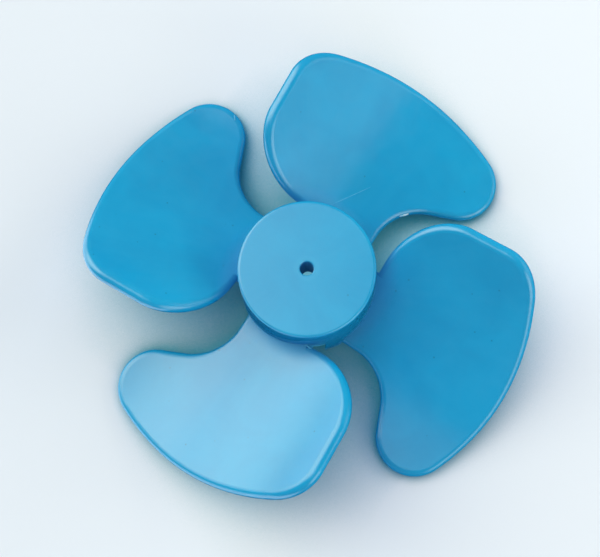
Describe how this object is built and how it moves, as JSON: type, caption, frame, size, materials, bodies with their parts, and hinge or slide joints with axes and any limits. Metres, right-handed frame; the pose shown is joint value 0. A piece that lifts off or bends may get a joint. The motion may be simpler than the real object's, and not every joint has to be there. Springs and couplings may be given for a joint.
{
  "type": "axial fan impeller",
  "caption": "Axial fan impeller: broad cambered blades with rounded lobes around a drafted cup hub, pressed on a shaft through its central bore.",
  "frame": {"origin": "on the shaft axis, at the rear end of the bore's wall, where the motor shaft goes in", "axes": "+Z along the shaft towards the hub's closed front, where the air is blown; +Y along the middle line of one blade"},
  "size_m": [0.106, 0.106, 0.0282],
  "materials": {
    "blue_plastic": "light blue polypropylene, moulded, soft sheen"
  },
  "bodies": {
    "root": {"impeller": "blue_plastic"}
  },
  "joints": []
}
